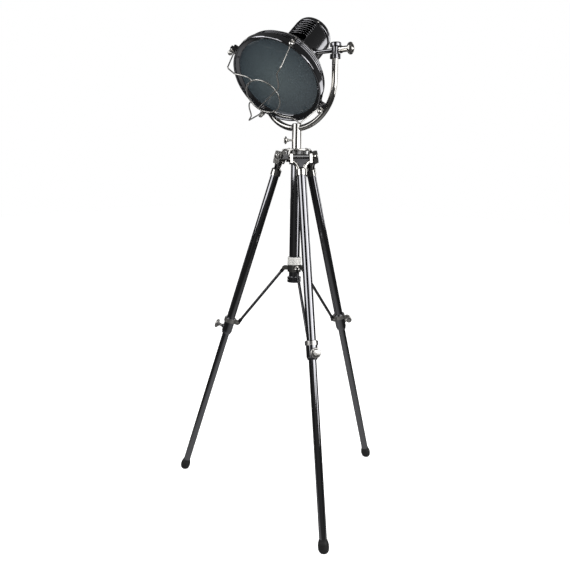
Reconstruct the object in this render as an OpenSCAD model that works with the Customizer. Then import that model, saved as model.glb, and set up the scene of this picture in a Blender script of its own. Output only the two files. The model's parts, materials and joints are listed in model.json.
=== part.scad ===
// Searchlight floor lamp on a folding tripod, in millimetres.
// +Z is up, the floor is Z = 0 and the mast stands on the Z axis.
// The trunnions lie along X. The head looks towards -Y and leans down from level.

/* [Tripod] */
// Height of the leg pivot bolts above the floor
leg_pivot_z = 1200; // [1100:10:1300]
// Distance of the leg pivot bolts from the mast axis
leg_pivot_r = 55; // [54:1:66]
// Lean of the open legs from the vertical, in degrees
leg_lean = 17.4; // [15:0.2:20]
// Direction of the first leg, from -Y towards +X, in degrees
leg_azimuth = 51; // [0:1:119]
// Outside diameter of the upper leg tubes
upper_tube_d = 30; // [29:0.5:33]
// Outside diameter of the lower leg tubes
lower_tube_d = 25; // [22:0.5:26]
// Wall of the lower leg tubes
lower_wall = 2; // [1.2:0.1:3]
// Length of lower tube held inside the upper tube
lower_overlap = 90; // [60:5:150]
// Diameter of the rubber feet
foot_d = 34; // [32:1:42]
// Length of the rubber feet
foot_len = 42; // [36:1:55]

/* [Leg fork] */
// Free width between the two ears of a leg fork
fork_gap = 58; // [50:1:62]
// Thickness of a fork ear
ear_t = 8; // [6:0.5:10]
// Diameter of a fork ear round its bolt
ear_d = 24; // [20:1:28]
// Height of the fork's ears above the pivot bolt
ear_rise = 19; // [14:1:20]
// Diameter of the curved fork arms
arm_d = 15; // [12:0.5:17]
// Thickness of the web between the fork arms
web_t = 8; // [5:0.5:9]
// Distance from the pivot bolt to the end of the fork's sleeve
fork_reach = 66; // [60:1:80]
// Length of the fork's sleeve
sleeve_len = 20; // [14:1:24]
// Wall of the fork's sleeve
sleeve_wall = 2.8; // [2:0.2:4]
// Diameter of the leg pivot bolts
pivot_bolt_d = 10; // [8:0.5:11]

/* [Leg collar] */
// Distance from the pivot bolt to the middle of the collar
collar_at = 636; // [590:2:680]
// Length of the collar
collar_len = 62; // [54:1:74]
// Wall of the collar round the upper tube
collar_wall = 3.5; // [3:0.1:5]
// Diameter of the leg clamp knobs
leg_knob_d = 34; // [26:1:40]
// Distance from the leg's axis to the back of the clamp knob
leg_knob_reach = 40; // [36:1:50]
// Diameter of the clamp screws
screw_d = 7; // [5:0.5:8]

/* [Hub] */
// Diameter of the hub's round body
hub_d = 68; // [60:1:76]
// Thickness of the hub's lugs, up and down
lug_t = 15; // [13:1:18]
// Diameter of the hub's top plate
hub_plate_d = 96; // [80:2:100]
// Thickness of the hub's top plate
hub_plate_t = 7; // [4:0.5:10]
// Height from the pivot bolts to the underside of the top plate
plate_rise = 19; // [18:0.5:26]
// Depth of the hub's body below the pivot bolts
hub_depth = 18; // [18:1:30]

/* [Mast] */
// Outside diameter of the mast socket and of the yoke's stem
mast_d = 33; // [30:0.5:40]
// Height of the mast socket above the top plate
socket_len = 55; // [45:1:80]
// Diameter of the spigot that turns in the socket
spigot_d = 24; // [18:0.5:25]
// Length of the spigot
spigot_len = 58; // [46:1:60]
// Diameter of the mast knob
mast_knob_d = 26; // [20:1:32]
// Direction of the mast knob, from -Y towards +X, in degrees
mast_knob_azimuth = -42; // [-90:1:0]

/* [Column] */
// Outside diameter of the centre column
column_d = 36; // [32:0.5:38]
// Wall of the centre column
column_wall = 2.5; // [1.5:0.1:4]
// Height of the column's lower end above the floor
column_bottom_z = 790; // [740:2:795]
// Diameter of the column's end cap
cap_d = 47; // [40:0.5:50]
// Length of the column's end cap
cap_len = 20; // [14:1:30]

/* [Spreader] */
// Height of the spreader pins above the column's lower end
spider_rise = 30; // [25:1:70]
// Outside diameter of the spreader's ring
spider_d = 46; // [44:0.5:52]
// Length of the spreader's ring
spider_len = 25; // [20:1:30]
// Distance from the ring to the spreader pins
spider_lug = 12; // [10:0.5:16]
// Diameter of the spreader pins
pin_d = 6; // [4:0.5:7]
// Length of the grooved locking ring
lock_ring_len = 26; // [18:1:34]
// Diameter of the braces
brace_d = 10; // [8:0.5:11]
// Thickness of the flat ends of the braces
tongue_t = 6; // [4:0.5:8]
// Thickness of the cheeks that hold a brace
cheek_t = 4; // [3:0.5:6]
// Wall of the band that carries a brace on its leg
band_wall = 3; // [2:0.5:4]
// Length of the band that carries a brace on its leg
band_len = 14; // [12:1:20]
// Free distance from the band to its brace pin
eye_reach = 10.5; // [10:0.5:14]

/* [Yoke] */
// Free height between the mast socket and the yoke's tube
stem_len = 2; // [1:0.5:30]
// Distance from the bezel's edge in to the middle of a yoke arm
arm_inset = 13; // [4:0.5:14]
// Depth of the yoke's lowest bend below the bezel's radius
yoke_room = 77; // [75:1:95]
// Diameter of the yoke's tube
yoke_tube_d = 20; // [16:0.5:20]
// Diameter of the yoke's bosses
boss_d = 34; // [30:1:38]
// Diameter of the trunnion shafts
trunnion_d = 14; // [11:0.5:15]
// Diameter of the tilt knobs
tilt_knob_d = 38; // [30:1:46]
// Length of the tilt knobs with their necks
tilt_knob_len = 45; // [42:1:60]

/* [Head] */
// Tilt of the head below level, in degrees
head_tilt = 40; // [10:1:40]
// Height of the lamp's axis over the trunnions
head_rise = 5; // [4:0.5:12]
// Diameter of the drum
drum_d = 296; // [270:1:330]
// Distance from the trunnions forward to the back of the drum
drum_back = 100; // [96:1:104]
// Depth of the drum
drum_len = 28; // [26:1:34]
// Wall of the spun metal shells
shell_wall = 2.4; // [1.5:0.1:3]
// Depth of the bowl behind the drum
bowl_depth = 78; // [70:1:80]
// How far the bezel stands out beyond the drum
bezel_rim = 10; // [9:0.5:14]
// Depth of the bezel
bezel_len = 22; // [20:1:28]
// Diameter of the bead round the bezel's front
bead_d = 7; // [5:0.5:8]
// Width of the bezel's lip from its outer edge
bezel_lip = 17; // [16:0.5:22]
// Thickness of the lens
lens_t = 5; // [3:0.5:6]
// Rise of the lens's dome
lens_sag = 8; // [2:0.5:12]
// Thickness of the lens gasket
gasket_t = 2; // [1:0.5:3]
// Diameter of the lamp can
can_d = 126; // [116:1:130]
// Distance from the trunnions back to the end of the can
can_back = 114; // [114:1:140]
// Number of louvres in each group
louvre_count = 7; // [4:1:7]
// Distance from one louvre to the next
louvre_pitch = 10; // [9:0.5:10]
// Angle that a louvre spans, in degrees
louvre_span = 96; // [60:2:110]
// Diameter of the bulb's globe
bulb_d = 60; // [40:1:64]

/* [Guard and clamps] */
// Diameter of the guard's wires
wire_d = 4.5; // [3.5:0.25:5]
// Diameter of the guard's centre ring
guard_ring_d = 120; // [90:2:140]
// Distance from the bezel's front to the guard's centre ring
guard_reach = 80; // [60:1:90]
// Distance that a wire leans inwards between its foot and its corner
guard_lean = 18; // [0:1:30]
// Angle that a wire leans round the lens between its foot and its corner, in degrees
guard_twist = 6; // [0:1:12]
// Angle that a spoke swings round on its way to the ring, in degrees
guard_swirl = 30; // [12:1:40]
// Diameter of the swing bolts
bolt_d = 6; // [5:0.5:7]
// Diameter of the clamp nuts
nut_d = 16; // [12:0.5:17]
// Length of the clamp nuts
nut_len = 20; // [18:1:26]
// Width of the bezel's lugs
lug_w = 16; // [14:0.5:20]

/* [Clearances] */
// Gap round a tube that slides
slide_gap = 0.4; // [0.3:0.05:0.6]
// Gap round a shaft or screw that turns
run_gap = 0.05; // [0.02:0.01:0.1]
// Gap round a piece that sits fixed in its seat
seat_gap = 0.1; // [0.05:0.05:0.2]
// Gap beside an ear or a tongue that swings
side_gap = 0.5; // [0.3:0.1:0.8]

/* [Hidden] */

$fn = 72;
dark_nickel = "#2e2e31";
bright_nickel = "#c4c3c0";
overcut = 1;

// Tripod sizes that follow from the driving ones
leg_run = leg_pivot_z / cos(leg_lean);
upper_bore_d = lower_tube_d + 2 * slide_gap;
collar_d = upper_tube_d + 2 * collar_wall;
band_d = collar_d + 2 * band_wall;
tube_end = collar_at + 4;
screw_at = collar_at + 10;
eye_at = collar_at - collar_len / 2 + 2 + band_len / 2;
spider_z = column_bottom_z + spider_rise;
eye_inset = band_d / 2 + eye_reach;
eye_r = leg_pivot_r + eye_at * sin(leg_lean) - eye_inset * cos(leg_lean);
eye_z = leg_pivot_z - eye_at * cos(leg_lean) - eye_inset * sin(leg_lean);
spider_pin_r = spider_d / 2 + spider_lug;
brace_len = norm([eye_r - spider_pin_r, spider_z - eye_z]);
brace_lean = atan2(eye_r - spider_pin_r, spider_z - eye_z);
spider_top = spider_z + spider_len / 2 + 1;
plate_z = leg_pivot_z + plate_rise;
socket_top = plate_z + hub_plate_t + socket_len;

// Yoke and head sizes, the head's measured forward from the trunnions along the lamp's axis
bezel_d = drum_d + 2 * bezel_rim;
lip_d = bezel_d - 2 * bezel_lip;
yoke_half = bezel_d / 2 - arm_inset;
yoke_drop = bezel_d / 2 + yoke_room;
head_pivot_z = socket_top + stem_len + yoke_tube_d / 2 + yoke_drop;
boss_cap_d = boss_d + 2;
tilt_knob_reach = yoke_half + boss_d / 2 + tilt_knob_len;
drum_front = drum_back + drum_len;
lens_back = drum_front + gasket_t;
lens_front = lens_back + lens_t;
bezel_front = drum_front + bezel_len;
bowl_back = drum_back - bowl_depth;
bowl_rim_r = drum_d / 2 - shell_wall - seat_gap;
bowl_hole_r = can_d / 2 - 4;
bowl_centre = drum_back + (bowl_rim_r ^ 2 - bowl_hole_r ^ 2 - bowl_depth ^ 2) / (2 * bowl_depth);
bowl_r = norm([bowl_rim_r, bowl_centre - drum_back]);
lug_back = lens_front - 4;
lug_front = bezel_front - 7;
wire_r = bezel_d / 2 + wire_d / 2 + seat_gap;
bolt_r = wire_r + wire_d / 2 + nut_d / 2 + 0.6;
bolt_eye_at = drum_front - 4;
guard_plane = bezel_front + guard_reach;
louvre_first = -24;
clamp_angles = [45, 135, -135, -45];

// Points along an arc, for profiles
function arc(cx, cy, r, from, to, steps) =
  [for (i = [0:steps]) let (a = from + (to - from) * i / steps) [cx + r * cos(a), cy + r * sin(a)]];

// How far forward the bowl's outer face stands at a radius
function bowl_at(r) = bowl_centre - sqrt(bowl_r * bowl_r - r * r);

// Points along the round of the bowl, from its rim to its hole
function bowl_arc(r, steps) =
  let (rim = asin(bowl_rim_r / bowl_r), hole = asin(bowl_hole_r / bowl_r))
    [for (i = [0:steps]) let (a = rim + (hole - rim) * i / steps) [r * sin(a), bowl_centre - r * cos(a)]];

// Points along a parabola of revolution
function parabola(r_from, r_to, vertex, focal, steps) =
  [for (i = [0:steps]) let (r = r_from + (r_to - r_from) * i / steps) [r, vertex + r * r / (4 * focal)]];

// Points along the shallow dome of the lens
function lens_arc(r_from, r_to, base, rim, steps) =
  [for (i = [0:steps]) let (r = r_from + (r_to - r_from) * i / steps) [r, base + lens_sag * (1 - r * r / (rim * rim))]];

function unit(v) = v / norm(v);

// Points round a corner between two straight stretches, cut back by the given length on each side
function round_corner(before, corner, after, cut) =
  let (from = corner + cut * unit(before - corner), to = corner + cut * unit(after - corner))
    [for (t = [0:0.25:1]) (1 - t) ^ 2 * from + 2 * t * (1 - t) * corner + t ^ 2 * to];

// A round bar bent along points that never run along Y
module bent_bar(path, r, sides) {
  last = len(path) - 1;
  turns = [for (i = [0:last]) unit(path[min(i + 1, last)] - path[max(i - 1, 0)])];
  across = [for (t = turns) unit(cross(t, [0, 1, 0]))];
  rings = [
    for (i = [0:last], j = [0:sides - 1])
      let (a = 360 * j / sides)
        path[i] + r * cos(a) * across[i] + r * sin(a) * cross(across[i], turns[i])
  ];
  walls = [
    for (i = [0:last - 1], j = [0:sides - 1])
      let (a = i * sides + j, b = i * sides + (j + 1) % sides)
        each [[a, b, a + sides], [b, b + sides, a + sides]]
  ];
  start_cap = [for (j = [1:sides - 2]) [0, j + 1, j]];
  end_cap = [for (j = [1:sides - 2]) [last * sides, last * sides + j, last * sides + j + 1]];
  polyhedron(rings, concat(walls, start_cap, end_cap));
}

module ring(d_out, d_in, h) {
  difference() {
    cylinder(d = d_out, h = h);
    translate([0, 0, -overcut]) cylinder(d = d_in, h = h + 2 * overcut);
  }
}

// A cylinder along X, centred
module rod_x(d, h) {
  rotate([0, 90, 0]) cylinder(d = d, h = h, center = true);
}

// Puts a leg's parts in place: the leg runs down -Z from its bolt, and -Y faces outwards
module at_leg(i) {
  rotate([0, 0, leg_azimuth + 120 * i])
    translate([0, -leg_pivot_r, leg_pivot_z])
      rotate([-leg_lean, 0, 0])
        children();
}

// Puts the head's parts in place: +Z is the way the lamp shines, +Y is up and X is the trunnion axis
module in_head() {
  translate([0, 0, head_pivot_z]) rotate([90 + head_tilt, 0, 0]) translate([0, head_rise, 0]) children();
}

module at_clamp(angle) {
  rotate([0, 0, angle]) translate([bolt_r, 0, 0]) children();
}

// A screw knob: a dished disc on a tapered neck, with its screw along +Z ending at the origin's back
module screw_knob(knob_d, neck, screw_len) {
  translate([0, 0, -screw_len]) cylinder(d = screw_d, h = screw_len + 1);
  rim = 3.5;
  rotate_extrude()
    polygon(concat(
      [[0, 0], [screw_d / 2 + 1.5, 0], [screw_d / 2 + 2, neck * 0.6], [knob_d / 2 - rim, neck]],
      arc(knob_d / 2 - rim, neck + rim, rim, -60, 90, 6),
      [[knob_d / 4, neck + 2 * rim + 2], [0, neck + 2 * rim + 3]]
    ));
}

// Hub

module hub_casting() {
  lug_w_hub = fork_gap - 2 * side_gap;
  color(dark_nickel)
    difference() {
      union() {
        translate([0, 0, leg_pivot_z - hub_depth]) cylinder(d = hub_d, h = hub_depth + plate_rise);
        for (i = [0:2])
          rotate([0, 0, leg_azimuth + 120 * i]) {
            translate([-lug_w_hub / 2, -leg_pivot_r, leg_pivot_z - lug_t / 2])
              cube([lug_w_hub, leg_pivot_r, lug_t]);
            translate([0, -leg_pivot_r, leg_pivot_z]) rod_x(lug_t, lug_w_hub);
          }
      }
      for (i = [0:2])
        rotate([0, 0, leg_azimuth + 120 * i])
          translate([0, -leg_pivot_r, leg_pivot_z])
            rod_x(pivot_bolt_d + 2 * seat_gap, fork_gap + 2 * overcut);
      translate([0, 0, leg_pivot_z - hub_depth - overcut])
        cylinder(d = column_d + 2 * seat_gap, h = 16 + overcut);
      translate([0, 0, plate_z - 16]) cylinder(d = mast_d + 2 * seat_gap, h = 16 + overcut);
      translate([0, 0, leg_pivot_z - hub_depth]) cylinder(d = 14, h = hub_depth + plate_rise);
    }
}

module hub_plate() {
  edge = 1.5;
  hole = mast_d / 2 + seat_gap;
  color(bright_nickel)
    translate([0, 0, plate_z])
      rotate_extrude()
        polygon([
          [hole, 0], [hub_plate_d / 2 - edge, 0], [hub_plate_d / 2, edge],
          [hub_plate_d / 2, hub_plate_t - edge], [hub_plate_d / 2 - edge, hub_plate_t], [hole, hub_plate_t]
        ]);
}

module at_mast_knob() {
  rotate([0, 0, mast_knob_azimuth])
    translate([0, -mast_d / 2, socket_top - 27])
      rotate([90, 0, 0])
        children();
}

module mast_socket() {
  color(bright_nickel)
    difference() {
      translate([0, 0, plate_z - 16]) cylinder(d = mast_d, h = socket_top - plate_z + 16);
      translate([0, 0, socket_top - spigot_len - 2]) cylinder(d = spigot_d + 2 * run_gap, h = spigot_len + 4);
      translate([0, 0, plate_z - 17]) cylinder(d = 14, h = 40);
      at_mast_knob() translate([0, 0, -mast_d / 2]) cylinder(d = screw_d + 2 * run_gap, h = mast_d);
    }
}

module mast_knob() {
  color(bright_nickel) at_mast_knob() translate([0, 0, 10]) screw_knob(mast_knob_d, 8, 12);
}

module centre_column() {
  top = leg_pivot_z - hub_depth + 16;
  color(dark_nickel)
    translate([0, 0, column_bottom_z]) ring(column_d, column_d - 2 * column_wall, top - column_bottom_z);
}

module column_cap() {
  plug_d = column_d - 2 * column_wall - 2 * seat_gap;
  edge = 3;
  color(dark_nickel)
    translate([0, 0, column_bottom_z])
      rotate_extrude()
        polygon(concat(
          [[0, 14], [plug_d / 2, 14], [plug_d / 2, 0], [column_d / 2, 0], [cap_d / 2 - 1.5, 0], [cap_d / 2, -1.5]],
          [[cap_d / 2, -7], [cap_d / 2 - 1.2, -8], [cap_d / 2 - 1.2, -10], [cap_d / 2, -11]],
          arc(cap_d / 2 - edge, edge - cap_len, edge, 0, -90, 5),
          [[0, -cap_len]]
        ));
}

module leg_pivot_bolts() {
  grip = fork_gap + 2 * ear_t;
  head_d = pivot_bolt_d * 1.6;
  color(bright_nickel)
    for (i = [0:2])
      rotate([0, 0, leg_azimuth + 120 * i])
        translate([0, -leg_pivot_r, leg_pivot_z]) {
          rod_x(pivot_bolt_d, grip + 2);
          for (side = [-1, 1])
            translate([side * (grip / 2 + side_gap), 0, 0])
              rotate([0, side * 90, 0]) {
                cylinder(d = head_d, h = 2.5);
                translate([0, 0, 2.5]) cylinder(d1 = head_d, d2 = head_d * 0.6, h = 1.5);
              }
        }
}

// Spreader

module spider() {
  gap = tongue_t + 2 * side_gap;
  color(dark_nickel)
    difference() {
      union() {
        translate([0, 0, spider_z - spider_len / 2]) cylinder(d = spider_d, h = spider_len);
        for (i = [0:2])
          rotate([0, 0, leg_azimuth + 120 * i])
            for (side = [-1, 1])
              translate([side * (gap + cheek_t) / 2, 0, spider_z]) {
                translate([0, -spider_pin_r, 0]) rod_x(brace_d + 4, cheek_t);
                translate([-cheek_t / 2, -spider_pin_r, -brace_d / 2 - 2])
                  cube([cheek_t, spider_pin_r - column_d / 2, brace_d + 4]);
              }
        for (i = [0:2])
          rotate([0, 0, leg_azimuth + 120 * i])
            translate([0, -spider_pin_r, spider_z])
              rod_x(pin_d, gap + 2 * cheek_t + 4);
      }
      translate([0, 0, spider_z - spider_len]) cylinder(d = column_d + 2 * run_gap, h = 2 * spider_len);
      for (i = [0:2])
        rotate([0, 0, leg_azimuth + 120 * i])
          translate([-gap / 2, -spider_pin_r - brace_d, spider_z + 0.5 * brace_d + 2 - 2 * brace_d])
            cube([gap, brace_d - pin_d / 2 - 1.2, 2 * brace_d]);
    }
}

module lock_ring() {
  groove = 1;
  rows = 7;
  step = (lock_ring_len - 4) / rows;
  outer = spider_d / 2 + 0.6;
  bore = column_d / 2 + slide_gap;
  color(bright_nickel)
    translate([0, 0, spider_top - 1])
      rotate_extrude()
        polygon(concat(
          [[bore, 0], [outer - 1, 0], [outer, 1]],
          [for (i = [0:rows - 1], p = [[0, 0.3], [groove, 0.45], [groove, 0.55], [0, 0.7]])
            [outer - p[0], 2 + step * (i + p[1])]],
          [[outer, lock_ring_len - 1], [outer - 1, lock_ring_len], [bore, lock_ring_len]]
        ));
}

module brace(i) {
  flat = brace_d + 2;
  hole = pin_d + 2 * run_gap;
  color(dark_nickel)
    rotate([0, 0, leg_azimuth + 120 * i])
      translate([0, -spider_pin_r, spider_z])
        rotate([-brace_lean, 0, 0])
          difference() {
            union() {
              translate([0, 0, -brace_len + 1.4 * flat]) cylinder(d = brace_d, h = brace_len - 2.8 * flat);
              for (end = [0, 1])
                translate([0, 0, -end * brace_len]) {
                  rod_x(flat, tongue_t);
                  translate([-tongue_t / 2, -flat / 2, end == 0 ? -1.6 * flat : 0])
                    cube([tongue_t, flat, 1.6 * flat]);
                }
            }
            rod_x(hole, tongue_t + 2 * overcut);
            translate([0, 0, -brace_len]) rod_x(hole, tongue_t + 2 * overcut);
          }
}

// Legs

module leg_fork(i) {
  ear_x = (fork_gap + ear_t) / 2;
  sleeve_d = upper_tube_d + 2 * sleeve_wall + 2 * seat_gap;
  web_top = lug_t / 2 + 1.5;
  arm_z = web_top + arm_d / 2;
  ear_round = 5;
  ear_foot = -arm_z - arm_d / 2;
  arm_x = sleeve_d / 2 - arm_d / 2 - 0.5;
  arm_drop = fork_reach - sleeve_len + 8 - arm_z;
  steps = 8;
  arm = [
    for (k = [0:steps])
      let (a = 90 * k / steps)
        [ear_x - (ear_x - arm_x) * sin(a), 0, -arm_z - arm_drop * (1 - cos(a))]
  ];
  web_side = concat([[ear_x, -web_top]], [for (p = arm) [p[0], p[2]]]);
  color(bright_nickel)
    at_leg(i)
      difference() {
        union() {
          for (side = [-1, 1]) {
            translate([side * ear_x, 0, 0])
              rotate([90, 0, 90])
                linear_extrude(height = ear_t, center = true)
                  polygon(concat(
                    arc(ear_d / 2 - ear_round, ear_rise - ear_round, ear_round, 0, 90, 4),
                    arc(ear_round - ear_d / 2, ear_rise - ear_round, ear_round, 90, 180, 4),
                    [[-ear_d / 2, 0], [3 - ear_d / 2, ear_foot], [ear_d / 2 - 3, ear_foot], [ear_d / 2, 0]]
                  ));
          }
          bent_bar(arm, arm_d / 2, 14);
          mirror([1, 0, 0]) bent_bar(arm, arm_d / 2, 14);
          rotate([90, 0, 0])
            linear_extrude(height = web_t, center = true)
              polygon(concat(web_side, [for (k = [steps + 1:-1:0]) [-web_side[k][0], web_side[k][1]]]));
          translate([0, 0, -fork_reach]) cylinder(d = sleeve_d, h = sleeve_len);
          translate([0, 0, sleeve_len - fork_reach]) cylinder(d1 = sleeve_d, d2 = sleeve_d * 0.6, h = 7);
        }
        rod_x(pivot_bolt_d + 2 * run_gap, fork_gap + 4 * ear_t);
        translate([0, 0, -fork_reach - overcut])
          cylinder(d = upper_tube_d + 2 * seat_gap, h = sleeve_len - 4 + overcut);
      }
}

module leg_upper_tube(i) {
  top = fork_reach - sleeve_len + 4;
  color(dark_nickel)
    at_leg(i)
      translate([0, 0, -tube_end]) ring(upper_tube_d, upper_bore_d, tube_end - top);
}

module at_leg_screw(i) {
  at_leg(i) translate([0, -collar_d / 2, -screw_at]) rotate([90, 0, 0]) children();
}

module leg_collar(i) {
  half = collar_len / 2;
  foot_r = lower_tube_d / 2 + collar_wall;
  seat_r = upper_tube_d / 2 + seat_gap;
  color(dark_nickel)
    difference() {
      union() {
        at_leg(i)
          translate([0, 0, -collar_at])
            rotate_extrude()
              polygon([
                [seat_r, half], [collar_d / 2 - 1, half], [collar_d / 2, half - 1], [collar_d / 2, 8 - half],
                [foot_r + 0.8, 6 - half], [foot_r, -half], [upper_bore_d / 2, -half],
                [upper_bore_d / 2, collar_at - tube_end], [seat_r, collar_at - tube_end]
              ]);
        at_leg_screw(i) translate([0, 0, -1.5]) cylinder(d = 2 * screw_d, h = 5.5);
      }
      at_leg_screw(i) translate([0, 0, -collar_wall - 4]) cylinder(d = screw_d + 2 * run_gap, h = collar_d);
    }
}

module leg_band(i) {
  gap = tongue_t + 2 * side_gap;
  pad = brace_d + 4;
  color(bright_nickel)
    at_leg(i)
      translate([0, 0, -eye_at])
        difference() {
          union() {
            translate([0, 0, -band_len / 2]) cylinder(d = band_d, h = band_len);
            for (side = [-1, 1])
              translate([side * (gap + cheek_t) / 2, 0, 0]) {
                translate([0, eye_inset, 0]) rod_x(pad, cheek_t);
                translate([-cheek_t / 2, 0, -band_len / 2]) cube([cheek_t, eye_inset, band_len]);
                translate([side * (cheek_t / 2 + 1), eye_inset, 0]) rod_x(pin_d + 2, 2);
              }
          }
          translate([0, 0, -band_len]) cylinder(d = collar_d + 2 * seat_gap, h = 2 * band_len);
        }
}

module leg_knob(i) {
  neck = leg_knob_reach - collar_d / 2 - 5;
  color(bright_nickel)
    at_leg_screw(i) translate([0, 0, 5]) screw_knob(leg_knob_d, neck, collar_wall + 6);
}

module leg_lower_tube(i) {
  end = leg_run - foot_len * 0.45;
  top = tube_end - lower_overlap;
  color(dark_nickel)
    at_leg(i) translate([0, 0, -end]) ring(lower_tube_d, lower_tube_d - 2 * lower_wall, end - top);
}

module leg_foot(i) {
  top = leg_run - foot_len;
  pad_r = foot_d / 2;
  ball_at = leg_run - 0.78 * pad_r;
  tube_seat = leg_run - foot_len * 0.45;
  neck_r = lower_tube_d / 2 + 1.6;
  color("#1c1c1c")
    intersection() {
      at_leg(i)
        difference() {
          rotate_extrude()
            polygon(concat(
              [[0, -top - 1], [neck_r - 0.8, -top - 1], [neck_r, -top - 2], [neck_r, -top - 5]],
              [[pad_r - 0.6, -top - 11], [pad_r, -top - 14]],
              arc(0, -ball_at, pad_r, 0, -90, 8)
            ));
          translate([0, 0, -tube_seat]) cylinder(d = lower_tube_d + 2 * seat_gap, h = foot_len);
        }
      translate([-leg_pivot_z, -leg_pivot_z, 0]) cube([2 * leg_pivot_z, 2 * leg_pivot_z, 2 * foot_len]);
    }
}

// Yoke

module yoke_bend(d) {
  translate([0, 0, head_pivot_z - yoke_drop + yoke_half])
    rotate([90, 0, 0])
      rotate([0, 0, 180])
        rotate_extrude(angle = 180)
          translate([yoke_half, 0]) circle(d = d);
}

module yoke_tube() {
  straight = yoke_drop - yoke_half;
  color(bright_nickel) {
    yoke_bend(yoke_tube_d);
    for (side = [-1, 1])
      translate([side * yoke_half, 0, head_pivot_z - straight])
        cylinder(d = yoke_tube_d, h = straight - trunnion_d / 2 - 4);
  }
}

module yoke_stem() {
  top = head_pivot_z - yoke_drop + yoke_tube_d / 2 + 6;
  color(bright_nickel)
    difference() {
      union() {
        translate([0, 0, socket_top]) cylinder(d = mast_d, h = top - socket_top - 2);
        translate([0, 0, top - 2]) cylinder(d1 = mast_d, d2 = mast_d - 4, h = 2);
        translate([0, 0, socket_top - spigot_len]) cylinder(d = spigot_d, h = spigot_len);
      }
      yoke_bend(yoke_tube_d + 2 * seat_gap);
      translate([0, 0, socket_top - spigot_len - overcut]) cylinder(d = 12, h = spigot_len);
    }
}

// A turned boss at the top of a yoke arm: collar, waist and domed cap, bored across for the trunnion
module yoke_boss(side) {
  waist = boss_d * 0.72;
  collar_low = -26;
  cap_low = 9;
  cap_top = 24;
  dome_r = 6;
  color(dark_nickel)
    translate([side * yoke_half, 0, head_pivot_z])
      difference() {
        rotate_extrude()
          polygon(concat(
            [[0, collar_low], [boss_d / 2 - 1, collar_low], [boss_d / 2, collar_low + 1]],
            [[boss_d / 2, -13], [boss_d / 2 - 1, -12], [waist / 2, -10.5], [waist / 2, cap_low]],
            [[boss_cap_d / 2 - 0.5, cap_low + 1.5], [boss_cap_d / 2, cap_low + 3]],
            arc(boss_cap_d / 2 - dome_r, cap_top - dome_r, dome_r, 0, 90, 5),
            [[0, cap_top + 1]]
          ));
        translate([0, 0, collar_low - overcut])
          cylinder(d = yoke_tube_d + 2 * seat_gap, h = overcut - collar_low - trunnion_d / 2 - 3.5);
        rod_x(trunnion_d + 2 * run_gap, 2 * boss_d);
      }
}

module tilt_knob(side) {
  face = tilt_knob_reach - yoke_half - boss_cap_d / 2;
  neck_d = trunnion_d + 5;
  rim = 4.5;
  color(bright_nickel)
    translate([side * (yoke_half + boss_cap_d / 2 + side_gap), 0, head_pivot_z])
      rotate([0, side * 90, 0])
        difference() {
          rotate_extrude()
            polygon(concat(
              [[0, 0], [neck_d / 2 + 2, 0], [neck_d / 2 + 2, 4], [neck_d / 2, 5.5], [neck_d / 2, face - 16]],
              [[tilt_knob_d / 2 - rim, face - 12]],
              arc(tilt_knob_d / 2 - rim, face - 12 + rim, rim, -70, 90, 7),
              [[tilt_knob_d / 2 - 9, face - 12 + 2 * rim], [tilt_knob_d / 2 - 11, face - 5], [0, face - 4]]
            ));
          translate([0, 0, -overcut]) cylinder(d = trunnion_d - 4 + 2 * run_gap, h = face - 10);
        }
}

// Head shells

module drum_shell() {
  r = drum_d / 2;
  bead = 1.5;
  beads = 3;
  color(dark_nickel)
    in_head()
      rotate_extrude()
        polygon(concat(
          [[r - shell_wall, drum_back]],
          arc(r - 0.4, drum_back + 1.6, 1.6, -90, 90, 4),
          [for (k = [1:beads], p = arc(r, drum_back + drum_len * k / (beads + 1) + 1, bead, -90, 90, 4)) p],
          [[r, drum_front], [lip_d / 2 - 4, drum_front], [lip_d / 2 - 4, drum_front - 3]],
          [[r - shell_wall, drum_front - 3]]
        ));
}

module back_bowl() {
  steps = 22;
  inner = bowl_arc(bowl_r - shell_wall, steps);
  color(bright_nickel)
    in_head()
      rotate_extrude()
        polygon(concat(
          [[bowl_rim_r, drum_back + 8]],
          bowl_arc(bowl_r, steps),
          [for (k = [0:steps]) inner[steps - k]],
          [[bowl_rim_r - shell_wall, drum_back + 8]]
        ));
}

// One louvre: a slit under a hood that stands out of the can's wall
module louvre_hood(at) {
  r = can_d / 2;
  translate([0, 0, at])
    rotate([0, 0, -louvre_span / 2])
      rotate_extrude(angle = louvre_span)
        polygon([[r - shell_wall, 2.5], [r, 3], [r + 3.4, -2.6], [r + 3.4, -3.6], [r + 2.2, -3.6], [r - shell_wall, 0.5]]);
}

module louvre_slit(at) {
  r = can_d / 2;
  margin = 3;
  translate([0, 0, at])
    rotate([0, 0, -louvre_span / 2 + margin])
      rotate_extrude(angle = louvre_span - 2 * margin)
        polygon([[r - shell_wall - 2, -4.5], [r + 1.2, -4.5], [r + 1.2, -2.2], [r - shell_wall - 2, 0]]);
}

module rear_can() {
  r = can_d / 2;
  end = -can_back + 10;
  flange = 4;
  color(dark_nickel)
    in_head() {
      difference() {
        union() {
          rotate_extrude()
            polygon([
              [r - shell_wall, end], [r, end], [r, bowl_at(r) - 4], [r + flange, bowl_at(r) - 4],
              [r + flange, bowl_at(r + flange) - 0.3], [r - shell_wall, bowl_at(r - shell_wall) - 0.3]
            ]);
          for (group = [90, -90], k = [0:louvre_count - 1])
            rotate([0, 0, group]) louvre_hood(louvre_first - louvre_pitch * k);
        }
        for (group = [90, -90], k = [0:louvre_count - 1])
          rotate([0, 0, group]) louvre_slit(louvre_first - louvre_pitch * k);
      }
    }
}

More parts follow.
